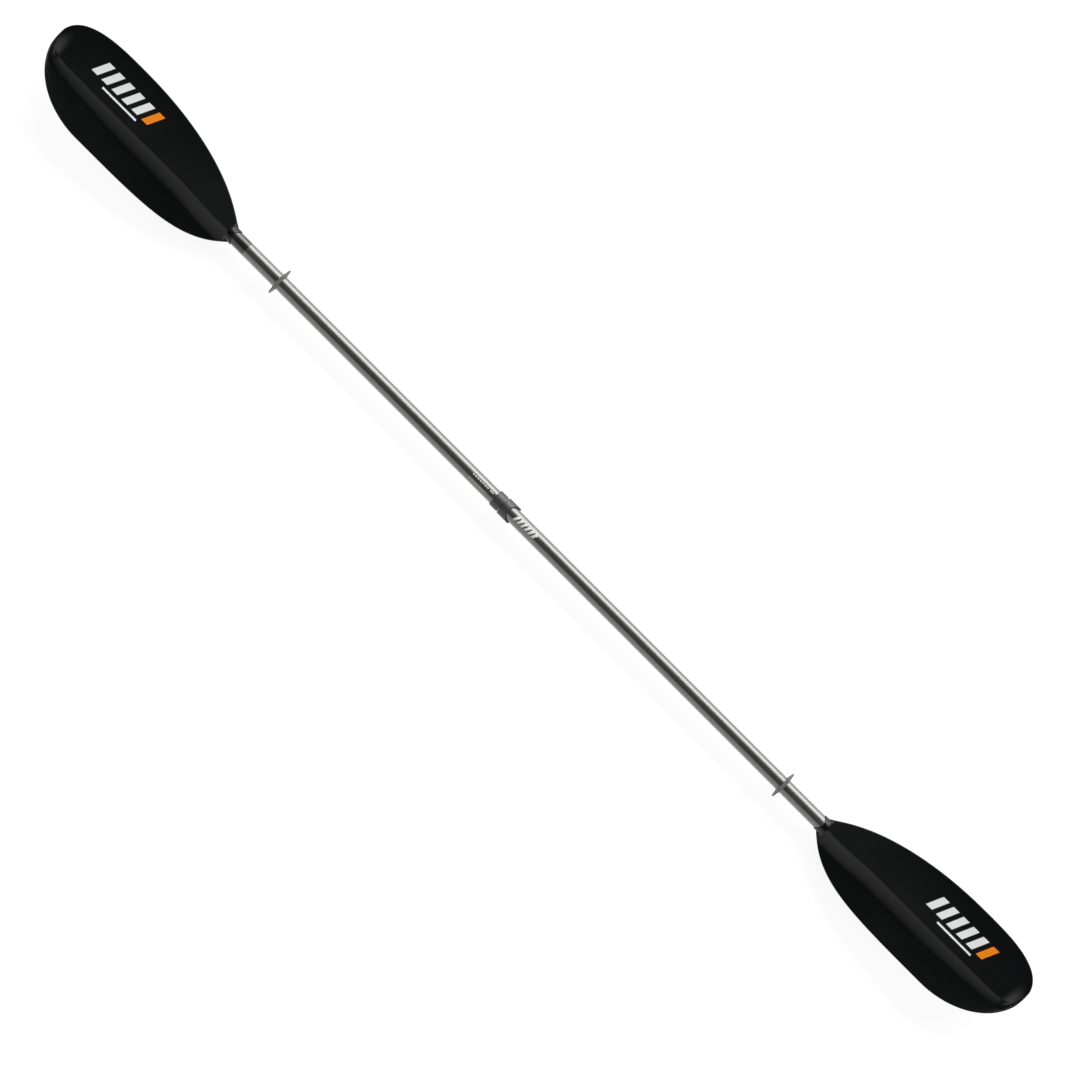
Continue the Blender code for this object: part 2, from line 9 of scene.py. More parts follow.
import bpy
import numpy as np
from mathutils import Matrix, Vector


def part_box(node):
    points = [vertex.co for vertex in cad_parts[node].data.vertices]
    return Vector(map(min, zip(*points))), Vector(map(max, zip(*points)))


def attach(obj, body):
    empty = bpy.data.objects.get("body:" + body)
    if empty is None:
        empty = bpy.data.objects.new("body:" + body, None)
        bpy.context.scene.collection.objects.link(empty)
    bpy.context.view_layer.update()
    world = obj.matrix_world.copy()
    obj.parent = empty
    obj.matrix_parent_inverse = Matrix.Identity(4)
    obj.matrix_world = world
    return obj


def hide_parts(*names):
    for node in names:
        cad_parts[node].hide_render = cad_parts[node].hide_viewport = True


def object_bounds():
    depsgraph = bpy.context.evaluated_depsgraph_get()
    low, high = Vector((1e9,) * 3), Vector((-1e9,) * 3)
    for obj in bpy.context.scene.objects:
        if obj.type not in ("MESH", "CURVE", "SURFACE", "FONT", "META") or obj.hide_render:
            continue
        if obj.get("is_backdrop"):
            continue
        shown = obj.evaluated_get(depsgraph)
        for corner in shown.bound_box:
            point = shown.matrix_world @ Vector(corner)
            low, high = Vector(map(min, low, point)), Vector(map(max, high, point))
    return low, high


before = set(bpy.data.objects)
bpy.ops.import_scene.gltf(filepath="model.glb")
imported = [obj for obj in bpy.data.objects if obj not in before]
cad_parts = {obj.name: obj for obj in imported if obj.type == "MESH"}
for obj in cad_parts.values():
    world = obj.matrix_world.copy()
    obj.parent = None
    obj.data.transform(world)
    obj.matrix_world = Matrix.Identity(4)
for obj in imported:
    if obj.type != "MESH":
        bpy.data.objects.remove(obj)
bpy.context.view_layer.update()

bl_info = {
    "name": "Kayak paddle",
    "version": (1, 0, 0),
    "blender": (4, 5, 0),
    "location": "3D View > Sidebar > Paddle",
    "description": "Blades, shafts, ferrule and drip rings of a two-piece kayak paddle",
    "category": "Object",
}

MM = 0.001
FULL_TURN = 2 * math.pi
SHARP_ANGLE = math.radians(38)

SHAFT_RADIUS = float(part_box("left_shaft")[1][2])
BLADE_LOW, BLADE_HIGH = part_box("right_blade")
RING_LOW, RING_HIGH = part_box("left_drip_ring")
BUTTON_LOW, BUTTON_HIGH = (np.array(corner, float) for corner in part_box("lock_button"))

# Where the two collars meet along the shaft, and what lies beside that.
PARTING = -62.5 * MM
PARTING_GAP = 0.3 * MM
LATCH_X = PARTING + 3.9 * MM
RETAINER_X = PARTING - 2.1 * MM
DETENT_X = PARTING - 7.2 * MM
O_RING_XS = (PARTING + 17 * MM, PARTING + 78 * MM)
# The bore of what sits on a tube, and the bore of the sleeve and the nose that the tenon slides through.
TUBE_BORE = 14.55 * MM
SLIDE_BORE = 11.5 * MM

# Where a blade's round neck becomes a folded sheet, from its lip, and the crest's height above that neck.
FOLD_RUN = (10 * MM, 19 * MM)
CREST = 1.8 * MM


def size(name, description, default, high=0.5):
    """A length in metres from 0 to high."""
    return bpy.props.FloatProperty(
        name=name, description=description, default=default, min=0.0, max=high, subtype="DISTANCE",
        unit="LENGTH"
    )


def colour(name, description, default):
    """An opaque colour."""
    return bpy.props.FloatVectorProperty(
        name=name, description=description, default=(*default, 1.0), size=4, min=0.0, max=1.0, subtype="COLOR"
    )


# ---- settings ----


class PaddleBladeSettings(bpy.types.PropertyGroup):
    neck_radius: size("Neck radius", "Outer radius of the neck round the shaft", 15.6 * MM)
    neck_straight: size("Neck length", "Straight part of the neck before the blade flares", 9 * MM)
    lip_cut: size("Lip cut", "How far the neck's lip is cut back on its front and back", 8 * MM)
    socket_depth: size("Socket depth", "How far the shaft goes into the neck", 52 * MM)
    tip_round: size("Tip round", "Length over which the tip's outline curves", 150 * MM)
    tip_offset: size("Tip offset", "How far the tip lies to the longer edge's side", 34 * MM)
    upper_width: size("Upper width", "From the shaft's axis to the longer edge", 95.5 * MM)
    lower_width: size("Lower width", "From the shaft's axis to the shorter edge", 75.6 * MM)
    neck_lift: size("Neck lift", "How far the sheet stands to the front of the shaft's axis", 3 * MM)
    tip_rise: size("Tip rise", "How far the blade rises forward to its tip", 28 * MM)
    sheet: size("Half thickness", "Half the thickness of the moulded sheet", 1.4 * MM)
    edge_cup: size("Edge cup", "How far the edges curl forward", 5 * MM)
    crest_offset: size("Crest offset", "How far the ridge's crest lies to the longer edge's side", 4 * MM)
    ridge_height: size("Ridge height", "Height of the ridge on the power face", 12.5 * MM)
    ridge_steep: size("Ridge's steep side", "From the crest to its foot toward the shorter edge", 30 * MM)
    ridge_shallow: size("Ridge's shallow side", "From the crest to its foot toward the longer edge", 85 * MM)
    skin: colour("Blade", "Black of the moulded blade", (0.0016, 0.0019, 0.0022))
    mark: colour("Mark", "White of the printed bars", (0.83, 0.84, 0.84))
    accent: colour("Accent", "Orange of the one odd bar", (0.9, 0.25, 0.01))


class PaddleShaftSettings(bpy.types.PropertyGroup):
    radius: size("Radius", "Outer radius of the tube", SHAFT_RADIUS)
    wall: size("Wall", "Thickness of the tube's wall", 1.4 * MM)
    tow: size("Tow", "Width of one carbon tow in the weave", 1.9 * MM)
    fibre: colour("Fibre", "Carbon fibre under the clear coat", (0.24, 0.24, 0.234))
    warm_fibre: colour("Left fibre", "Fibre of the left tube, a little warmer", (0.245, 0.2415, 0.226))
    resin: colour("Resin", "Darker resin between the tows", (0.13, 0.13, 0.127))
    band: size("Band", "Length of the dark band beside the left blade", 27.5 * MM)
    print_white: colour("Print", "White of the printed marks", (0.8, 0.8, 0.8))


class PaddleFerruleSettings(bpy.types.PropertyGroup):
    index_radius: size("Index collar radius", "Outer radius of the left collar", 16.4 * MM)
    socket_radius: size("Socket collar radius", "Outer radius of the right collar", 17.6 * MM)
    socket_length: size("Socket collar length", "Length of the right collar", 29.1 * MM)
    mouth: size("Mouth", "How far the right collar is cut back on its front", 14.7 * MM)
    notch: size("Notch", "Half the width of the V notches on the sides of the collars' joint", 2.3 * MM)
    notch_depth: size("Notch depth", "Depth of the V notches", 1.5 * MM)
    chamfer: size("Chamfer", "Chamfer on the collars' far ends", 1.4 * MM)
    tenon_radius: size("Tenon radius", "Radius of the sliding part of the tenon", 11 * MM)
    skin: colour("Collar", "Dark grey of the moulded collars", (0.042, 0.042, 0.044))
    tenon: colour("Tenon", "Black of the glass-filled tenon", (0.012, 0.012, 0.013))


class PaddleRingSettings(bpy.types.PropertyGroup):
    radius: size("Radius", "Outer radius of a drip ring", float(RING_HIGH[2]))
    hub_radius: size("Hub radius", "Radius of the hub where the lip begins", 17.2 * MM)
    hub_length: size("Hub length", "Length of the hub along the shaft", float(RING_HIGH[0] - RING_LOW[0]))
    skin: colour("Rubber", "Grey of the rubber", (0.085, 0.085, 0.085))


class PaddleStageSettings(bpy.types.PropertyGroup):
    camera_height: size("Camera height", "Distance from the camera to the shaft's axis", 6.5, 20)
    view_width: size("View width", "Width of the view at the shaft's axis", 1.881, 20)
    floor_drop: size("Floor drop", "Gap between the paddle's lowest point and the floor", 0.5 * MM, 2)
    floor: colour("Floor", "Pale floor", (0.3, 0.3, 0.3))


# ---- shader maths ----


class Value:
    """A socket that varies over a surface. Python's operators on it add Math nodes."""

    def __init__(self, finish, socket):
        self.finish = finish
        self.socket = socket

    def math(self, operation, *values):
        """A Math node on the values, in their order."""
        inputs = dict(enumerate(values))
        return self.finish.node("ShaderNodeMath", {"operation": operation}, inputs)

    def __add__(self, other):
        return self.math("ADD", self, other)

    def __radd__(self, other):
        return self.math("ADD", other, self)

    def __sub__(self, other):
        return self.math("SUBTRACT", self, other)

    def __rsub__(self, other):
        return self.math("SUBTRACT", other, self)

    def __mul__(self, other):
        return self.math("MULTIPLY", self, other)

    def __truediv__(self, other):
        return self.math("DIVIDE", self, other)

    def __pow__(self, other):
        return self.math("POWER", self, other)

    def __gt__(self, other):
        return self.math("GREATER_THAN", self, other)

    def __lt__(self, other):
        return self.math("LESS_THAN", self, other)

    def __abs__(self):
        return self.math("ABSOLUTE", self)

    def fraction(self):
        return self.math("FRACT", self)

    def whole(self):
        return self.math("FLOOR", self)

    def either(self, other):
        """The greater of two marks."""
        return self.math("MAXIMUM", self, other)

    def between(self, low, high):
        """1 where low < value < high, else 0."""
        return (self > low) * (self < high)

    def step(self, start, end):
        """Smooth rise from 0 at start to 1 at end."""
        settings = {"interpolation_type": "SMOOTHSTEP"}
        inputs = {"Value": self, "From Min": start, "From Max": end}
        return self.finish.node("ShaderNodeMapRange", settings, inputs)


class Finish:
    """A material under construction, with its Principled shader and a few shorthands."""

    def __init__(self, name, **constants):
        self.material = bpy.data.materials.new(name)
        self.material.use_nodes = True
        self.tree = self.material.node_tree
        self.shader = self.tree.nodes["Principled BSDF"]
        for socket, value in constants.items():
            self.shader.inputs[socket.replace("_", " ")].default_value = value

    def node(self, kind, settings=None, inputs=None, output=0):
        """Any node: its settings first, then the values or links of its sockets."""
        made = self.tree.nodes.new(kind)
        for key, value in (settings or {}).items():
            setattr(made, key, value)
        for key, value in (inputs or {}).items():
            self.feed(made.inputs[key], value)
        return Value(self, made.outputs[output])

    def feed(self, socket, value):
        """Links a Value to a socket, or sets the socket to a constant."""
        if isinstance(value, Value):
            self.tree.links.new(value.socket, socket)
        else:
            socket.default_value = value

    def coordinates(self, source="Object"):
        """The piece's own metres, or its UV map."""
        return self.node("ShaderNodeTexCoord", output=source)

    def parts(self, vector):
        """The x, y and z of a vector, as three values."""
        split = self.tree.nodes.new("ShaderNodeSeparateXYZ")
        self.feed(split.inputs[0], vector)
        return [Value(self, socket) for socket in split.outputs]

    def noise(self, scale, detail=3.0, stretch=None, roughness=0.5, source="Object"):
        """Noise on the object's own metres, so a scale of 1000 has features about a millimetre across."""
        place = self.coordinates(source)
        if stretch:
            place = self.node("ShaderNodeVectorMath", {"operation": "MULTIPLY"}, {0: place, 1: stretch})
        inputs = {"Vector": place, "Scale": scale, "Detail": detail, "Roughness": roughness}
        return self.node("ShaderNodeTexNoise", None, inputs)

    def mix(self, amount, first, second):
        """first where amount is 0 and second where it is 1; both are colours."""
        inputs = {"Factor": amount, 6: first, 7: second}
        return self.node("ShaderNodeMix", {"data_type": "RGBA"}, inputs, output=2)

    def bump(self, height, strength, distance):
        """A normal roughened by height, which is worth distance metres at 1."""
        inputs = {"Height": height, "Strength": strength, "Distance": distance}
        return self.node("ShaderNodeBump", None, inputs)

    def set(self, **sockets):
        """Feeds the Principled shader's sockets, with _ for the space in their names."""
        for socket, value in sockets.items():
            self.feed(self.shader.inputs[socket.replace("_", " ")], value)
        return self.material


# ---- surfaces ----


def fade(value, start, end):
    """Smooth step from 0 at start to 1 at end."""
    t = np.clip((value - start) / (end - start), 0, 1)
    return t * t * (3 - 2 * t)


def skin(name, points, finish, close_rows=False, caps=(), outward=1, uv=None):
    """A mesh from a grid of points, rows by columns, whose columns close on themselves.

    close_rows joins the last row to the first. Each cap is (row, point): a fan from that row to the point.
    outward is -1 where the rows run the other way round. uv holds (u, v) for each row and each of columns + 1
    places round it, so that the pattern doesn't jump at the join.
    """
    rows, columns = points.shape[:2]
    row = np.arange(rows if close_rows else rows - 1)[:, None]
    column = np.arange(columns)[None, :]
    after = (row + 1) % rows
    right = (column + 1) % columns
    quads = np.stack(
        [row * columns + column, row * columns + right, after * columns + right, after * columns + column], -1
    ).reshape(-1, 4)
    vertices = points.reshape(-1, 3)
    fans = []
    for cap, (at, point) in enumerate(caps):
        ring = at % rows * columns + np.arange(columns)
        centre = np.full(columns, len(vertices) + cap)
        turn = ring, np.roll(ring, -1)
        fans.append(np.stack([*(turn if at else turn[::-1]), centre], -1))
    vertices = np.concatenate([vertices, *[np.array([point]) for _, point in caps]])
    loops = np.concatenate([quads[:, ::outward].ravel(), *[fan[:, ::outward].ravel() for fan in fans]])
    sides = np.concatenate([np.full(len(quads), 4), *[np.full(len(fan), 3) for fan in fans]]).astype(int)

    mesh = bpy.data.meshes.new(name)
    mesh.vertices.add(len(vertices))
    mesh.vertices.foreach_set("co", vertices.astype(np.float32).ravel())
    mesh.loops.add(len(loops))
    mesh.loops.foreach_set("vertex_index", loops.astype(np.int32))
    mesh.polygons.add(len(sides))
    mesh.polygons.foreach_set("loop_start", (np.cumsum(sides) - sides).astype(np.int32))
    if uv is not None:
        corner_rows = np.stack([row, row, row + 1, row + 1], -1)
        corner_columns = np.stack([column, column + 1, column + 1, column], -1)
        corners = uv[corner_rows, corner_columns].reshape(-1, 4, 2)[:, ::outward].reshape(-1, 2)
        rest = np.zeros((len(loops) - len(corners), 2))
        mesh.uv_layers.new(name="UVMap").data.foreach_set("uv", np.concatenate([corners, rest]).ravel())
    mesh.update(calc_edges=True)
    mesh.validate()
    mesh.shade_smooth()
    mesh.set_sharp_from_angle(angle=SHARP_ANGLE)
    mesh.materials.append(finish)
    piece = bpy.data.objects.new(name, mesh)
    bpy.context.scene.collection.objects.link(piece)
    return piece


def rounded(corners, radius, steps=4):
    """A closed outline of (x, radius, follow) corners with each corner cut by an arc-like curve.

    The curve is a quadratic Bezier from a point radius before the corner to one radius after it, or nearer
    where a side is short. follow rides along, so the fish-mouth cut keeps its place.
    """
    corners = np.array(corners, float)
    before = np.roll(corners, 1, axis=0) - corners
    after = np.roll(corners, -1, axis=0) - corners
    reach = [
        np.minimum(radius, 0.45 * np.linalg.norm(side[:, :2], axis=1))
        / np.maximum(np.linalg.norm(side[:, :2], axis=1), 1e-9)
        for side in (before, after)
    ]
    start = corners + before * reach[0][:, None]
    end = corners + after * reach[1][:, None]
    t = np.linspace(0, 1, steps)[None, :, None]
    curve = (1 - t) ** 2 * start[:, None] + 2 * t * (1 - t) * corners[:, None] + t**2 * end[:, None]
    return curve.reshape(-1, 3)


def turned(name, corners, finish, sides=128, radius=0.25 * MM, steps=4, mouth=0.0, drop=None, lift=0.0):
    """A closed outline of (x, radius) corners turned about the X axis, its inner side first, edges rounded.

    A third number on a corner says how far it follows the cut of depth mouth, which goes round the front as
    the 0.8th power of the cosine. drop(x, radius, angle) is taken off the radius, for notches. lift moves the
    piece up off the axis.
    """
    corners = [(*corner, 0.0)[:3] for corner in corners]
    outline = rounded(corners, radius, steps)
    angle = np.arange(sides) / sides * FULL_TURN
    x = outline[:, :1] - mouth * outline[:, 2:] * np.maximum(np.cos(angle), 0) ** 0.8
    r = np.broadcast_to(outline[:, 1:2], x.shape)
    if drop:
        r = r - drop(x, r, angle)
    points = np.stack([x, r * np.sin(angle), r * np.cos(angle) + lift], -1)
    return skin(name, points, finish, close_rows=True)


def split_ring(name, section, radius, centre_x, gap, finish, steps=120, dip=0.0, dip_width=7):
    """A flat section (width along X, height) carried round the X axis, leaving a gap in degrees at the top.

    Opposite the gap the ring bends in by dip, as a bell curve whose width is in degrees.
    """
    angle = np.linspace(math.radians(gap) / 2, FULL_TURN - math.radians(gap) / 2, steps)
    half, height = section[0] / 2, section[1]
    corners = rounded([(-half, 0, 0), (half, 0, 0), (half, height, 0), (-half, height, 0)], 0.12 * MM, 3)
    inner = radius - dip * np.exp(-(((angle - math.pi) / math.radians(dip_width)) ** 2))
    r = inner[:, None] + corners[:, 1]
    x = centre_x + np.broadcast_to(corners[:, 0], r.shape)
    points = np.stack([x, r * np.sin(angle)[:, None], r * np.cos(angle)[:, None]], -1)
    return skin(name, points, finish, outward=-1, caps=((0, points[0].mean(0)), (-1, points[-1].mean(0))))


def block(name, low, high, radius, finish):
    """An upright block between two corners, with its four standing edges rounded."""
    corners = [(low[0], low[1], 0), (high[0], low[1], 0), (high[0], high[1], 0), (low[0], high[1], 0)]
    outline = rounded(corners, radius, 6)[:, :2]
    points = np.stack([np.column_stack([outline, np.full(len(outline), z)]) for z in (low[2], high[2])])
    return skin(name, points, finish, caps=((0, points[0].mean(0)), (-1, points[1].mean(0))))


def opposite_blocks(name, x_range, radii, half, corner, finish):
    """Two blocks alike, on +Y and on -Y, over a range of X and a range of radius, and half to each side."""
    (start, end), (inner, outer) = x_range, radii
    far = block("far_" + name, (start, inner, -half), (end, outer, half), corner, finish)
    near = block("near_" + name, (start, -outer, -half), (end, -inner, half), corner, finish)
    return far, near


def groove(x, half, outer, floor):
    """The corners of a square groove, for an outer side that runs toward -X."""
    return [(x + half, outer), (x + half, floor), (x - half, floor), (x - half, outer)]


def carve(piece, operation, *cutters):
    """Cuts the cutters out of a piece, or joins them to it, and removes them."""
    for cutter in cutters:
        change = piece.modifiers.new(cutter.name, "BOOLEAN")
        change.operation = operation
        change.solver = "EXACT"
        change.object = cutter
    graph = bpy.context.evaluated_depsgraph_get()
    solid = bpy.data.meshes.new_from_object(piece.evaluated_get(graph))
    piece.modifiers.clear()
    piece.data = solid
    for cutter in cutters:
        bpy.data.objects.remove(cutter)
    solid.shade_smooth()
    solid.set_sharp_from_angle(angle=SHARP_ANGLE)


def put(piece, body, slot, *nodes):
    """The piece rides on a body and stands for these CAD nodes, which it hides. slot is not used."""
    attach(piece, body)
    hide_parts(*nodes)


# ---- finishes ----


def paler(tint, gain, lift=0.0):
    """A colour that is gain times as bright, plus lift."""
    return [part * gain + lift for part in tint[:3]] + [1.0]


def bars_mark(along, across, count, pitch, width, height, slant, first=0):
    """Slanted bars in a row, 1 inside a bar and else 0, that starts at the bar numbered first.

    along and across are metres on the surface, from the foot of bar 0.
    """
    cell = (along - across * slant) / pitch - float(first)
    inside_row = cell.between(0.0, float(count))
    inside_bar = cell.fraction() < width / pitch
    return inside_row * inside_bar * across.between(0.0, height)


def blade_finish(end):
    """Black fibre-filled nylon, satin, with a generic printed mark on the power face of the blade at end."""
    settings = bpy.context.scene.paddle_blade
    finish = Finish("blade_" + ("right" if end > 0 else "left"), Specular_IOR_Level=0.42)
    x, y, _ = finish.parts(finish.coordinates())
    _, _, facing = finish.parts(finish.node("ShaderNodeNewGeometry", output="Normal"))
    cloud = finish.noise(9.0, 4.0)
    flecks = finish.noise(420.0, 2.0, (0.16, 1.0, 1.0))
    scuffs = finish.noise(60.0, 5.0, (0.35, 2.2, 1.0), 0.65).step(0.62, 0.8)
    black = settings.skin
    colour_ = finish.mix(flecks.step(0.5, 0.78) * 0.55, black, paler(black, 2.1, 0.001))
    wear_run = 100 * MM
    from_wear = abs(x) - (float(BLADE_HIGH[0]) - wear_run)
    wear = from_wear.step(0.1 * wear_run, wear_run) * scuffs
    colour_ = finish.mix(wear * 0.7, colour_, paler(black, 3.0, 0.004))

    bars = {"pitch": 24.5 * MM, "width": 14.5 * MM, "height": 31 * MM, "slant": 0.45}
    white_bars = 5
    along = x - (961 * MM if end > 0 else -1115 * MM)
    across = y - 30 * MM
    row = bars_mark(along, across, white_bars, **bars)
    accent = bars_mark(along, across, 1, first=white_bars, **bars)
    line = along.between(36 * MM, 118 * MM) * y.between(19.5 * MM, 23.1 * MM)
    ink = (1.0 - finish.noise(900.0, 3.0).step(0.68, 0.74) * 0.8) * (facing > 0.2)
    colour_ = finish.mix(row.either(line) * ink, colour_, settings.mark)
    colour_ = finish.mix(accent * ink, colour_, settings.accent)

    rough = 0.26 + cloud * 0.08 + flecks * 0.05 + wear * 0.2
    texture = finish.noise(1500.0, 2.0) * 0.5 + flecks * 0.5 + scuffs * 0.25
    return finish.set(Base_Color=colour_, Roughness=rough, Normal=finish.bump(texture, 0.12, 0.00006))


def left_tube_marks(x, y):
    """Two broken stripes, the lower one fainter, and a tick beside them, by the left collar."""
    dash_pitch, dash_share = 5.8 * MM, 0.74
    dashes = ((x / dash_pitch).fraction() < dash_share) * x.between(-139 * MM, -100.5 * MM)
    upper = y.between(1.4 * MM, 3.3 * MM)
    lower = y.between(-7.8 * MM, -6.4 * MM) * 0.6
    tick = x.between(-96.5 * MM, -87.5 * MM) * upper
    return (dashes * (upper + lower)).either(tick)


def right_tube_marks(x, y):
    """Six slanted bars by the right collar."""
    along, across = x + 33.5 * MM, y + 5.2 * MM
    return bars_mark(along, across, 6, pitch=8.8 * MM, width=5.6 * MM, height=10.8 * MM, slant=0.5)


def carbon_finish(side):
    """Carbon twill under a gloss clear coat, read from the tube's own UV map in metres.

    Tows run at 45 degrees both ways in a two-over, two-under twill. The left tube also has a dark band beside
    its blade.
    """
    settings = bpy.context.scene.paddle_shaft
    finish = Finish("carbon_" + side, Coat_Weight=1.0, Coat_Roughness=0.08)
    u, v, _ = finish.parts(finish.coordinates("UV"))
    x, y, z = finish.parts(finish.coordinates())
    warp = (u + v) / settings.tow
    weft = (u - v) / settings.tow
    tows_per_repeat = 4.0
    over = ((warp.whole() + weft.whole()) / tows_per_repeat).fraction() < 0.49
    warp_crown = abs(warp.fraction() - 0.5) * 2.0
    weft_crown = abs(weft.fraction() - 0.5) * 2.0
    crown = 1.0 - (over * warp_crown + (1.0 - over) * weft_crown) ** 2.0
    strands = finish.noise(5200.0, 2.0, (0.12, 1.0, 1.0)) * 0.5 + 0.5
    tone = (over * 0.35 + 0.45) * strands * (crown * 0.5 + 0.5)
    front = z > 4 * MM
    if side == "left":
        neck_end = float(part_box("left_blade")[1][0])
        band = x.between(neck_end - 50 * MM, neck_end + settings.band)
        colour_ = finish.mix(tone, settings.resin, settings.warm_fibre)
        colour_ = finish.mix(band * 0.72, colour_, (0.004, 0.004, 0.004, 1.0))
        marks = left_tube_marks(x, y) * front
    else:
        colour_ = finish.mix(tone, settings.resin, settings.fibre)
        marks = right_tube_marks(x, y) * front
    colour_ = finish.mix(marks, colour_, settings.print_white)
    scratches = finish.noise(260.0, 4.0, (0.02, 1.0, 1.0), 0.7).step(0.66, 0.8)
    rough = 0.34 + (1.0 - crown) * 0.1 + scratches * 0.1
    bump = finish.bump(crown * 0.4 + strands * 0.3, 0.12, 0.00005)
    return finish.set(Base_Color=colour_, Metallic=0.85 - marks * 0.85, Roughness=rough, Normal=bump)


def collar_finish(name="collar_nylon"):
    """Dark grey moulded nylon, satin, clouded, with a fine mould grain."""
    settings = bpy.context.scene.paddle_ferrule
    finish = Finish(name, Metallic=0.25, Specular_IOR_Level=0.9)
    cloud = finish.noise(120.0, 4.0)
    grain = finish.noise(2600.0, 2.0)
    colour_ = finish.mix(cloud * 0.5, settings.skin, paler(settings.skin, 1.6))
    return finish.set(
        Base_Color=colour_,
        Roughness=0.37 + cloud * 0.12 + grain * 0.06,
        Normal=finish.bump(grain, 0.3, 0.00006),
    )


def tenon_finish(name):
    """Black glass-filled nylon with faint sliding marks along its length."""
    settings = bpy.context.scene.paddle_ferrule
    finish = Finish(name)
    rubbed = finish.noise(900.0, 3.0, (0.03, 1.0, 1.0)).step(0.5, 0.75)
    grain = finish.noise(3000.0, 2.0)
    colour_ = finish.mix(rubbed * 0.6, settings.tenon, paler(settings.tenon, 3.0))
    return finish.set(
        Base_Color=colour_, Roughness=0.46 - rubbed * 0.14, Normal=finish.bump(grain + rubbed, 0.2, 0.00005)
    )


def rubber_finish(name, tint):
    """Soft matte rubber with a dusty bloom."""
    finish = Finish(name, Sheen_Weight=0.15, Sheen_Roughness=0.5)
    bloom = finish.noise(160.0, 5.0)
    grain = finish.noise(2200.0, 3.0)
    colour_ = finish.mix(bloom * 0.6, tint, paler(tint, 1.5))
    return finish.set(
        Base_Color=colour_, Roughness=0.52 + bloom * 0.16, Normal=finish.bump(grain, 0.35, 0.00008)
    )


def steel_finish(name="spring_steel"):
    """Stainless spring steel, drawn along its strip."""
    finish = Finish(name, Metallic=1.0)
    drawn = finish.noise(1800.0, 3.0, (1.0, 0.08, 0.08))
    colour_ = finish.mix(drawn, (0.44, 0.44, 0.45, 1.0), (0.66, 0.66, 0.67, 1.0))
    return finish.set(
        Base_Color=colour_, Roughness=0.24 + drawn * 0.18, Normal=finish.bump(drawn, 0.15, 0.00003)
    )


def foam_finish():
    """Closed-cell foam, off-white, pitted with small cells."""
    finish = Finish("closed_cell_foam")
    inputs = {"Vector": finish.coordinates(), "Scale": 1400.0}
    cells = finish.node("ShaderNodeTexVoronoi", None, inputs)
    cloud = finish.noise(200.0)
    colour_ = finish.mix(cells, (0.62, 0.61, 0.57, 1.0), (0.42, 0.41, 0.38, 1.0))
    return finish.set(
        Base_Color=colour_, Roughness=0.8 + cloud * 0.15, Normal=finish.bump(cells, 0.6, 0.0002)
    )


# ---- blades ----


def blade_edges(along, length, s):
    """(upper, lower) y of the blade's edges at a distance from the lip.

    Toward the tip each edge is a quarter of a superellipse about the tip's own point. Toward the neck it
    falls from its widest by a blend of two powers of the distance, and it never gets narrower than the neck.
    """
    from_tip = length - along
    bow = np.clip(1 - from_tip / s.tip_round, 0, 1)
    upper_tip = s.tip_offset + (s.upper_width - s.tip_offset) * (1 - bow**3.1) ** (1 / 2.4)
    lower_tip = s.tip_offset - (s.lower_width + s.tip_offset) * (1 - bow**2) ** 0.5
    run = np.clip((from_tip - s.tip_round) / (length - s.tip_round), 0, 1)
    neck_meet = 8 * MM
    upper = s.upper_width - (s.upper_width - neck_meet) * (0.8 * run**2.2 + 0.2 * run**6)
    lower = s.lower_width - (s.lower_width - neck_meet) * (0.65 * run**4 + 0.35 * run**8)
    near_tip = from_tip < s.tip_round
    return (
        np.where(near_tip, upper_tip, np.maximum(upper, s.neck_radius)),
        np.where(near_tip, lower_tip, -np.maximum(lower, s.neck_radius)),
    )


def fillet(off, start, end):
    """A concave skirt that is 1 at start and runs out flat at end: the square of the distance still to go."""
    return np.clip((end - off) / (end - start), 0, 1.2) ** 2


def round_over(off, reach):
    """The height of a circle, as a part of its radius, at a distance off its middle."""
    return np.sqrt(1 - np.clip(off / reach, 0, 1) ** 2)


def lip_cut(turn, s):
    """How far the neck's lip is cut back: in full on the front and the back, and not at the sides."""
    return s.lip_cut * (1 - np.abs(turn) ** 1.4)


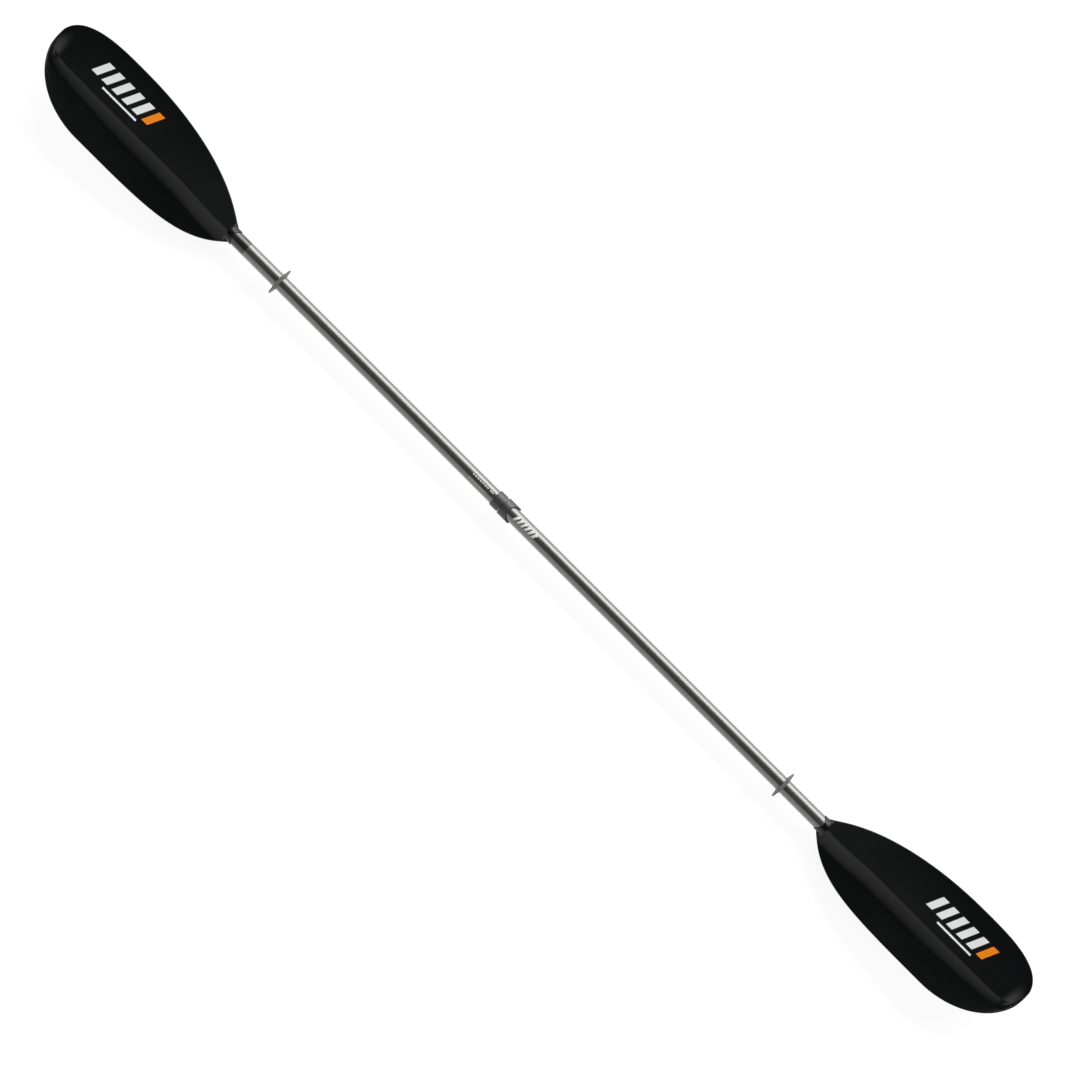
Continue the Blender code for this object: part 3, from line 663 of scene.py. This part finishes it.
def blade_rings(along, around, length, s):
    """The blade's skin: rings at each distance from the lip, each running across the face and back behind it.

    The neck is a circle at the lip. Past it the section is a sheet of even thickness, folded to a crest on
    the power face: it falls steeply toward the shorter edge and gently toward the longer one. A round spine
    stands on the back and sinks into the sheet toward the tip. The face rises to the tip and its edges cup
    forward by the square of their distance from the crest. Points crowd toward the crest by a cubic of the
    sine of the angle. The crest and the spine grow, thin and fade over parts of the blade's length.
    """
    along = along[:, None]
    part = along / length
    upper, lower = blade_edges(along, length, s)
    grown = fade(along, s.socket_depth, 0.3 * length)
    crest_y = s.crest_offset * grown
    crest_y = crest_y + (s.tip_offset - crest_y) * part**40
    turn = np.sin(around)[None, :]
    front = np.cos(around)[None, :] > 0
    width = np.where(turn > 0, upper - crest_y, crest_y - lower)
    crowd = 0.62 * fade(width, s.neck_radius, 2.5 * s.neck_radius)
    side = turn * (1 - crowd * (1 - turn**2))
    y = crest_y + width * side
    off = width * np.abs(side)

    folded = fade(along, *FOLD_RUN)
    thinned = 1 - 0.3 * fade(part, 0.5, 1)
    neck_height = s.neck_radius + CREST - s.sheet - s.neck_lift
    height = neck_height + (s.ridge_height - neck_height) * grown
    foot = np.where(turn > 0, s.ridge_shallow, s.ridge_steep * thinned)
    fold = height * (thinned * (1 - fade(part, 0.93, 1.0))) * (1 - np.clip(off / foot, 0, 1)) ** 1.15
    rise_run = (0.08, 1.25)
    rise = (s.tip_rise - s.neck_lift) * fade(part, *rise_run) / fade(1.0, *rise_run)
    cup = s.edge_cup * fade(part, 0.12, 0.5) * ((y - crest_y) / np.maximum(width, s.neck_radius)) ** 2
    middle = folded * (s.neck_lift + fold) + rise + cup

    sheet = s.sheet * np.sqrt(1 - (1 - np.clip((width - off) / s.sheet, 0, 1)) ** 2)
    top = (1 - folded) * (s.neck_radius * round_over(off, s.neck_radius)) + folded * sheet

    sink = fade(along, s.socket_depth, 0.62 * length)
    spine_width = np.minimum(s.neck_radius * (1 + 0.4 * folded), width)
    spine = (middle - rise + s.neck_radius) * (1 - sink) * round_over(off, spine_width)
    room = fade(width, s.neck_radius, 1.6 * s.neck_radius)
    root = 0.4 * s.neck_radius * (1 - sink) * room * fillet(off, 0.6 * spine_width, 1.6 * spine_width)
    power = 4
    back = (spine**power + (folded * sheet) ** power + root**power) ** (1 / power)
    lip_fade = 26 * MM
    cut_back = lip_cut(turn, s) * (1 - np.clip(along / lip_fade, 0, 1))
    return np.stack([along + cut_back, y, np.where(front, middle + top, middle - back)], -1)


def socket_rings(around, s):
    """The inside of the neck, from the socket's floor up its wall and over the lip's two soft edges."""
    wall, edge, clear = 1.05 * MM, 0.25 * MM, 0.6 * MM
    bore = s.neck_radius - wall
    mouth = lip_cut(np.sin(around), s)
    depths = (s.socket_depth, 0.66 * s.socket_depth, 0.33 * s.socket_depth, clear)
    rings = [(np.maximum(depth, mouth + clear), bore) for depth in depths]
    rings += [(mouth, bore + edge), (mouth, bore + 2 * edge)]
    return np.array([np.stack([x, r * np.sin(around), r * np.cos(around)], -1) for x, r in rings])


def make_blade(name, end, body):
    """The moulded blade with its socket, as one closed skin, mirrored where end is -1."""
    s = bpy.context.scene.paddle_blade
    lip_x = float(BLADE_LOW[0])
    length = float(BLADE_HIGH[0]) - lip_x
    sides = 192
    around = (np.arange(sides) / sides * 2 - 0.5) * math.pi
    spread = np.linspace(0, 1, 190)[1:-1]
    neck = np.linspace(0, s.neck_straight, 8)
    run = s.neck_straight + (length - s.neck_straight) * np.sin(spread * math.pi / 2) ** 1.15
    tip = length * (1 - np.array([2e-4, 5e-5, 1e-5]))
    stations = np.sort([*neck, *np.linspace(*FOLD_RUN, 12), *run, length - s.tip_round, *tip])
    outside = blade_rings(stations, around, length, s)
    lip_round = 0.35 * MM
    outside[0, :, 0] += lip_round
    points = np.concatenate([socket_rings(around, s), outside])
    points[..., 0] = end * (lip_x + points[..., 0])
    socket_floor = (end * (lip_x + s.socket_depth), 0.0, 0.0)
    tip_point = (end * (lip_x + length), s.tip_offset, s.tip_rise)
    caps = ((0, socket_floor), (-1, tip_point))
    blade = skin(name, points, blade_finish(end), caps=caps, outward=-1 if end > 0 else 1)
    put(blade, body, "blade", "right_blade" if end > 0 else "left_blade")


# ---- shafts ----


def make_shaft(side, body):
    """A tube with rounded rims, and a UV map in metres: round the wall and along it."""
    s = bpy.context.scene.paddle_shaft
    low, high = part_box(side + "_shaft")
    start, end = float(low[0]), float(high[0])
    bore = s.radius - s.wall
    steps = 4
    corners = [(start, bore, 0.0), (end, bore, 0.0), (end, s.radius, 0.0), (start, s.radius, 0.0)]
    rims = rounded(corners, 0.3 * MM, steps)
    spread = np.linspace(0, 1, 60)[1:-1, None]
    outline = []
    for rim in (rims[: 2 * steps], rims[2 * steps :]):
        first, last = rim[steps - 1], rim[steps]
        outline += [rim[:steps], first + (last - first) * spread, rim[steps:]]
    outline = np.concatenate(outline)
    sides = 96
    angle = np.arange(sides) / sides * FULL_TURN
    x, r = outline[:, :1], outline[:, 1:2]
    points = np.stack(np.broadcast_arrays(x, r * np.sin(angle), r * np.cos(angle)), -1)
    turn = np.arange(sides + 1) / sides * FULL_TURN * s.radius
    rows = np.concatenate([outline, outline[:1]])
    uv = np.stack(np.broadcast_arrays(turn[None, :], rows[:, :1]), -1)
    tube = skin(side + "_tube", points, carbon_finish(side), close_rows=True, uv=uv)
    put(tube, body, "carbon", side + "_shaft")


# ---- ferrule ----


def side_notch(x, r, angle):
    """The V notches at +Y and -Y where the collars meet, fading round the collar by a power of the sine."""
    s = bpy.context.scene.paddle_ferrule
    slope = np.clip(1 - np.maximum(abs(x - PARTING) - PARTING_GAP, 0) / (s.notch - PARTING_GAP), 0, 1)
    outer_side = r > 15.8 * MM
    return s.notch_depth * slope * outer_side * np.sin(angle) ** 8


def make_index_collar():
    """The left collar, with a slot for the detent ring in its bore and two keys on its face."""
    s = bpy.context.scene.paddle_ferrule
    start = float(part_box("index_collar")[0][0])
    face = PARTING - PARTING_GAP
    shoulder = start + 8.8 * MM
    bore, bearing, recess = 14.61 * MM, 12.76 * MM, 13.4 * MM
    recess_start = face - 2.6 * MM
    slot_start, slot_end = DETENT_X - 1.3 * MM, DETENT_X + 1.3 * MM
    corners = [(start, bore), (shoulder, bore), (shoulder, bearing), (slot_start, bearing)]
    corners += [(slot_start, bore), (slot_end, bore), (slot_end, bearing), (recess_start, bearing)]
    corners += [(recess_start, recess), (face, recess), (face, s.index_radius)]
    corners += [(face - s.notch + PARTING_GAP, s.index_radius), (start + s.chamfer, s.index_radius)]
    corners += [(start, s.index_radius - s.chamfer)]
    finish = collar_finish()
    collar = turned(
        "index_collar_shell", corners, finish, sides=180, radius=0.3 * MM, steps=5, drop=side_notch
    )
    key_run, key_radii = (face - 1 * MM, face + 1.9 * MM), (13.6 * MM, 14.8 * MM)
    carve(collar, "UNION", *opposite_blocks("key", key_run, key_radii, 1.75 * MM, 0.2 * MM, finish))
    put(collar, "index_dial", "collar", "index_collar")


def make_socket_collar():
    """The right collar, its far end's front cut back like a fish's mouth, with the button's window behind."""
    s = bpy.context.scene.paddle_ferrule
    start = PARTING + PARTING_GAP
    end = start + s.socket_length
    pocket_end, pocket = start + 7.8 * MM, 15.3 * MM
    bevel = 0.5 * MM
    corners = [(start, pocket), (pocket_end, pocket), (pocket_end, TUBE_BORE), (end, TUBE_BORE, 1.0)]
    corners += [(end, s.socket_radius - s.chamfer, 1.0), (end - s.chamfer, s.socket_radius, 1.0)]
    corners += [(start + s.notch - PARTING_GAP, s.socket_radius), (start, s.socket_radius - bevel)]
    finish = collar_finish("socket_nylon")
    collar = turned(
        "socket_collar_shell", corners, finish, sides=180, radius=0.4 * MM, steps=5, mouth=s.mouth,
        drop=side_notch,
    )
    low = (*(BUTTON_LOW[:2] - PARTING_GAP), -s.socket_radius - 1 * MM)
    high = (*(BUTTON_HIGH[:2] + PARTING_GAP), -13.9 * MM)
    carve(collar, "DIFFERENCE", block("window", low, high, 1 * MM, finish))
    put(collar, "right_half", "collar", "socket_collar")


def make_tenon():
    """The male ferrule: a notched land under the left collar, then grooves for the latch and two O-rings.

    The land's 24 notches are one wave of a cosine each, 15 degrees apart.
    """
    s = bpy.context.scene.paddle_ferrule
    low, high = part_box("tenon")
    root, tip = float(low[0]), float(high[0])
    bore, root_radius, land_radius = 8.5 * MM, SHAFT_RADIUS - 1.7 * MM, 12.4 * MM
    flange = root + 60 * MM
    land = flange + 2.4 * MM
    land_end = PARTING - 0.2 * MM
    corners = [(root, bore), (tip, bore), (tip, s.tenon_radius - 1 * MM), (tip - 2 * MM, s.tenon_radius)]
    for x in reversed(O_RING_XS):
        corners += groove(x, 1 * MM, s.tenon_radius, s.tenon_radius - 1.5 * MM)
    corners += groove(LATCH_X, 1.7 * MM, s.tenon_radius, s.tenon_radius - 0.8 * MM)
    corners += [(land_end, s.tenon_radius), (land_end, land_radius)]
    corners += groove(RETAINER_X, 0.8 * MM, land_radius, 10.9 * MM)
    notched = RETAINER_X - 1.5 * MM
    corners += [(notched, land_radius), (land, land_radius), (land, SHAFT_RADIUS), (flange, SHAFT_RADIUS)]
    corners += [(flange, root_radius), (root, root_radius)]

    def notches(x, r, angle):
        on_land = (x < notched + 0.5 * MM) & (x > land - 0.5 * MM) & (abs(r - land_radius) < 0.1 * MM)
        count, half_depth = 24, 0.25 * MM
        return on_land * half_depth * (1 - np.cos(count * angle))

    finish = tenon_finish("tenon_nylon")
    tenon = turned("tenon_ferrule", corners, finish, sides=240, radius=0.2 * MM, drop=notches)
    put(tenon, "left_half", "nylon", "tenon")


def make_liner():
    """The flanged sleeve in the right shaft."""
    low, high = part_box("socket_liner")
    start, end, flange = float(low[0]), float(high[0]), float(high[2])
    flange_end, outer = start + 2 * MM, flange - 1.7 * MM
    corners = [(start, SLIDE_BORE), (end, SLIDE_BORE), (end, outer), (flange_end, outer)]
    corners += [(flange_end, flange), (start, flange)]
    liner = turned("socket_sleeve", corners, tenon_finish("liner_nylon"), radius=0.2 * MM)
    put(liner, "right_half", "nylon", "socket_liner")


def make_nose():
    """The ring that closes the latch's pocket, with a notch for each of the left collar's keys."""
    low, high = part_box("nose_ring")
    start, end, outer = float(low[0]), float(high[0]), 15 * MM
    finish = collar_finish("nose_nylon")
    corners = [(start, SLIDE_BORE), (end, SLIDE_BORE), (end, outer), (start, outer)]
    nose = turned("nose_washer", corners, finish, radius=0.2 * MM, sides=144)
    cut_run, cut_radii = (start - 1 * MM, end + 1 * MM), (13.2 * MM, 17 * MM)
    carve(nose, "DIFFERENCE", *opposite_blocks("notch", cut_run, cut_radii, 2.1 * MM, 0.1 * MM, finish))
    put(nose, "right_half", "collar", "nose_ring")


def make_button():
    """The push button: a block with a crowned face that follows the collar, a soft rim and grip ridges.

    The face is rings that shrink to the middle. Its height is the collar's circle, less a quarter circle at
    the rim, less a raised-cosine groove between ridges 1.2 mm apart.
    """
    centre_x = float(BUTTON_LOW[0] + BUTTON_HIGH[0]) / 2
    half_x, half_y = (BUTTON_HIGH - BUTTON_LOW)[:2] / 2
    inner, crown = float(BUTTON_HIGH[2]), -float(BUTTON_LOW[2])
    corners = [(-half_x, -half_y, 0), (half_x, -half_y, 0), (half_x, half_y, 0), (-half_x, half_y, 0)]
    outline = rounded(corners, 0.9 * MM, 24)
    shrink = np.linspace(1, 0.02, 48)[:, None]
    x, y = shrink * outline[:, 0], shrink * outline[:, 1]
    rim, ridge_pitch, ridge = 0.5 * MM, 1.2 * MM, 0.14 * MM
    inset = (1 - shrink) * half_x / rim
    soft = rim * (1 - np.sqrt(1 - (1 - np.clip(inset, 0, 1)) ** 2))
    ridges = ridge * (1 - np.cos(FULL_TURN * x / ridge_pitch)) * np.clip(inset - 0.6, 0, 1)
    z = -np.sqrt(crown**2 - y**2) + soft + ridges
    face = np.stack([centre_x + x, y, z], -1)
    foot = np.stack([centre_x + x[:1], y[:1], np.full_like(x[:1], inner)], -1)
    caps = ((0, (centre_x, 0.0, inner)), (-1, (centre_x, 0.0, float(z[-1].mean()))))
    points = np.concatenate([foot, face])
    button = skin("button_pad", points, collar_finish("button_nylon"), caps=caps, outward=-1)
    put(button, "push_button", "button", "lock_button")


def make_seals():
    """The two O-rings, each a circle turned about the axis."""
    rubber = rubber_finish("o_ring_rubber", (0.012, 0.012, 0.012, 1.0))
    thick, middle = 0.65 * MM, 10.5 * MM
    turns = np.arange(16) / 16 * FULL_TURN
    for name, x in zip(("rear_o_ring", "front_o_ring"), O_RING_XS):
        circle = np.stack([x - thick * np.cos(turns), middle - thick * np.sin(turns)], -1)
        ring = turned(name + "_seal", circle, rubber, radius=0.0, steps=1)
        put(ring, "left_half", "rubber", name)


def make_springs():
    """The latch plate, which stands off the axis, and the two split rings of flat spring wire."""
    steel = steel_finish()
    start, end, hole, outer = LATCH_X - 1.2 * MM, LATCH_X + 1.2 * MM, 12.2 * MM, 13.9 * MM
    corners = [(start, hole), (end, hole), (end, outer), (start, outer)]
    plate = turned("latch_washer", corners, steel, radius=0.25 * MM, lift=-0.8 * MM)
    put(plate, "push_button", "steel", "latch_plate")
    wire, clip = (2 * MM, 0.4 * MM), (1 * MM, 1.8 * MM)
    detent = split_ring("detent_spring", wire, 13.9 * MM, DETENT_X, 50, steel, steps=240, dip=1.2 * MM)
    put(detent, "index_dial", "steel", "detent_ring")
    keeper = split_ring("snap_ring", clip, 11.2 * MM, RETAINER_X, 60, steel)
    put(keeper, "left_half", "steel", "collar_retainer")


def make_drip_ring(side, body):
    """A drip ring: a rounded hub, and a lip that thins to a rounded rim."""
    s = bpy.context.scene.paddle_ring
    low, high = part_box(side + "_drip_ring")
    centre = float(low[0] + high[0]) / 2
    half, web, lip = s.hub_length / 2, 2.2 * MM, 1.1 * MM
    edge, foot = s.hub_radius - 1 * MM, s.hub_radius + 2 * MM
    corners = [(centre - half, TUBE_BORE), (centre + half, TUBE_BORE), (centre + half, edge)]
    corners += [(centre + web, foot), (centre + lip, s.radius - lip), (centre, s.radius)]
    corners += [(centre - lip, s.radius - lip), (centre - web, foot), (centre - half, edge)]
    finish = rubber_finish("drip_ring_rubber_" + side, s.skin)
    ring = turned(side + "_drip_washer", corners, finish, sides=144, radius=1.2 * MM, steps=7)
    put(ring, body, "rubber", side + "_drip_ring")


# ---- operators ----


class PADDLE_OT_blades(bpy.types.Operator):
    """Makes the two moulded blades"""

    bl_idname = "paddle.blades"
    bl_label = "Blades"

    def execute(self, context):
        make_blade("left_blade_moulding", -1, "left_half")
        make_blade("right_blade_moulding", 1, "right_half")
        return {"FINISHED"}


class PADDLE_OT_shafts(bpy.types.Operator):
    """Makes the two carbon tubes"""

    bl_idname = "paddle.shafts"
    bl_label = "Shafts"

    def execute(self, context):
        make_shaft("left", "left_half")
        make_shaft("right", "right_half")
        return {"FINISHED"}


class PADDLE_OT_collars(bpy.types.Operator):
    """Makes the two collars of the ferrule"""

    bl_idname = "paddle.collars"
    bl_label = "Collars"

    def execute(self, context):
        make_index_collar()
        make_socket_collar()
        return {"FINISHED"}


class PADDLE_OT_drip_rings(bpy.types.Operator):
    """Makes the two drip rings"""

    bl_idname = "paddle.drip_rings"
    bl_label = "Drip rings"

    def execute(self, context):
        make_drip_ring("left", "left_ring")
        make_drip_ring("right", "right_ring")
        return {"FINISHED"}


class PADDLE_OT_latch(bpy.types.Operator):
    """Makes the tenon, its sleeve, the push button and the rings between them"""

    bl_idname = "paddle.latch"
    bl_label = "Tenon and latch"

    def execute(self, context):
        make_tenon()
        make_liner()
        make_nose()
        make_button()
        make_seals()
        make_springs()
        return {"FINISHED"}


class PADDLE_OT_kept_parts(bpy.types.Operator):
    """Gives the leaf spring and the foam plugs, which keep their model's shape, their finishes"""

    bl_idname = "paddle.kept_parts"
    bl_label = "Spring and plugs"

    def execute(self, context):
        plugs = ("left_blade_plug", "left_ferrule_plug", "right_ferrule_plug", "right_blade_plug")
        finishes = {"button_spring": steel_finish("leaf_steel"), **dict.fromkeys(plugs, foam_finish())}
        for name, finish in finishes.items():
            for material_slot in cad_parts[name].material_slots:
                material_slot.material = finish
        return {"FINISHED"}


class PADDLE_OT_stage(bpy.types.Operator):
    """Makes the pale floor, the soft lights and the camera"""

    bl_idname = "paddle.stage"
    bl_label = "Stage"

    def execute(self, context):
        s = context.scene.paddle_stage
        make_floor(s)
        make_lights()
        make_camera(s)
        return {"FINISHED"}


class PADDLE_PT_panel(bpy.types.Panel):
    bl_label = "Kayak paddle"
    bl_idname = "PADDLE_PT_panel"
    bl_space_type = "VIEW_3D"
    bl_region_type = "UI"
    bl_category = "Paddle"

    def draw(self, context):
        for title, group, operators in SECTIONS:
            box = self.layout.box()
            box.label(text=title)
            settings = getattr(context.scene, group)
            for key in settings.__annotations__:
                box.prop(settings, key)
            for operator in operators:
                box.operator(operator)


SECTIONS = (
    ("Blades", "paddle_blade", ("paddle.blades",)),
    ("Shafts", "paddle_shaft", ("paddle.shafts",)),
    ("Ferrule", "paddle_ferrule", ("paddle.collars", "paddle.latch", "paddle.kept_parts")),
    ("Drip rings", "paddle_ring", ("paddle.drip_rings",)),
    ("Stage", "paddle_stage", ("paddle.stage",)),
)
GROUPS = {
    "paddle_blade": PaddleBladeSettings,
    "paddle_shaft": PaddleShaftSettings,
    "paddle_ferrule": PaddleFerruleSettings,
    "paddle_ring": PaddleRingSettings,
    "paddle_stage": PaddleStageSettings,
}
OPERATORS = (
    PADDLE_OT_blades,
    PADDLE_OT_shafts,
    PADDLE_OT_collars,
    PADDLE_OT_latch,
    PADDLE_OT_kept_parts,
    PADDLE_OT_drip_rings,
    PADDLE_OT_stage,
)


# ---- stage ----


def make_floor(s):
    """A wide pale floor just under the paddle, which glows so that it comes out white."""
    level = float(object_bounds()[0][2]) - s.floor_drop
    reach = 9.0
    white = (1.0, 1.0, 1.0, 1.0)
    mesh = bpy.data.meshes.new("floor")
    corners = [(-reach, -reach, level), (reach, -reach, level), (reach, reach, level), (-reach, reach, level)]
    mesh.from_pydata(corners, [], [(0, 1, 2, 3)])
    finish = Finish("pale_floor", Base_Color=s.floor, Roughness=0.9, Specular_IOR_Level=0.1,
                    Emission_Color=white, Emission_Strength=0.86)
    mesh.materials.append(finish.material)
    floor = bpy.data.objects.new("floor", mesh)
    bpy.context.scene.collection.objects.link(floor)
    floor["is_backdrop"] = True


def soft_box(name, radiance, length, angles, distance, toward=0.0):
    """A rectangular light that looks at the origin and spans two angles, in degrees from straight up.

    toward is the compass direction that it leans to, in degrees from +Y to +X.
    """
    low, high = (math.radians(angle) for angle in angles)
    lamp = bpy.data.lights.new(name, "AREA")
    lamp.shape = "RECTANGLE"
    lamp.size = length
    lamp.size_y = 2 * distance * math.tan((high - low) / 2)
    lamp.energy = radiance * math.pi * lamp.size * lamp.size_y
    holder = bpy.data.objects.new(name, lamp)
    lean = Matrix.Rotation(-math.radians(toward), 4, "Z") @ Matrix.Rotation(-(low + high) / 2, 4, "X")
    holder.matrix_world = lean @ Matrix.Translation((0, 0, distance))
    bpy.context.scene.collection.objects.link(holder)


def make_lights():
    """Soft boxes beside the paddle and past its ends, in a room that looks pale and adds little light."""
    soft_box("key_box", 4.7, 6.0, (45, 87), 3.2)
    soft_box("low_box", 0.9, 6.0, (44, 88), 3.2, toward=180)
    for end, toward in (("left", -90), ("right", 90)):
        soft_box(end + "_end_box", 1.5, 2.4, (46, 70), 4.5, toward=toward)
    world = bpy.data.worlds.new("pale_room")
    world.use_nodes = True
    tree = world.node_tree
    back = tree.nodes["Background"]
    back.inputs["Color"].default_value = (1.0, 1.0, 1.0, 1.0)
    path = tree.nodes.new("ShaderNodeLightPath")
    strength = tree.nodes.new("ShaderNodeMapRange")
    tree.links.new(path.outputs["Is Camera Ray"], strength.inputs["Value"])
    light_given, light_seen = 0.03, 0.93
    strength.inputs["To Min"].default_value = light_given
    strength.inputs["To Max"].default_value = light_seen
    tree.links.new(strength.outputs[0], back.inputs["Strength"])
    bpy.context.scene.world = world
    bpy.context.scene.view_settings.view_transform = "Standard"


def make_camera(s):
    """Straight above the paddle, rolled so that the shaft runs from the upper left to the lower right."""
    view_centre = (8.9 * MM, 2.5 * MM)
    lens = bpy.data.cameras.new("camera")
    lens.lens = lens.sensor_width * s.camera_height / s.view_width
    lens.clip_end = 100.0
    camera = bpy.data.objects.new("camera", lens)
    roll = Matrix.Rotation(math.radians(45.0), 4, "Z")
    camera.matrix_world = Matrix.Translation((*view_centre, s.camera_height)) @ roll
    bpy.context.scene.collection.objects.link(camera)
    bpy.context.scene.camera = camera


def register():
    for group in GROUPS.values():
        bpy.utils.register_class(group)
    for name, group in GROUPS.items():
        setattr(bpy.types.Scene, name, bpy.props.PointerProperty(type=group))
    for operator in OPERATORS:
        bpy.utils.register_class(operator)
    bpy.utils.register_class(PADDLE_PT_panel)


def unregister():
    bpy.utils.unregister_class(PADDLE_PT_panel)
    for operator in reversed(OPERATORS):
        bpy.utils.unregister_class(operator)
    for name, group in GROUPS.items():
        delattr(bpy.types.Scene, name)
        bpy.utils.unregister_class(group)


def main():
    register()
    for _, _, operators in SECTIONS:
        for operator in operators:
            group, name = operator.split(".")
            getattr(getattr(bpy.ops, group), name)()


if __name__ == "__main__":
    main()
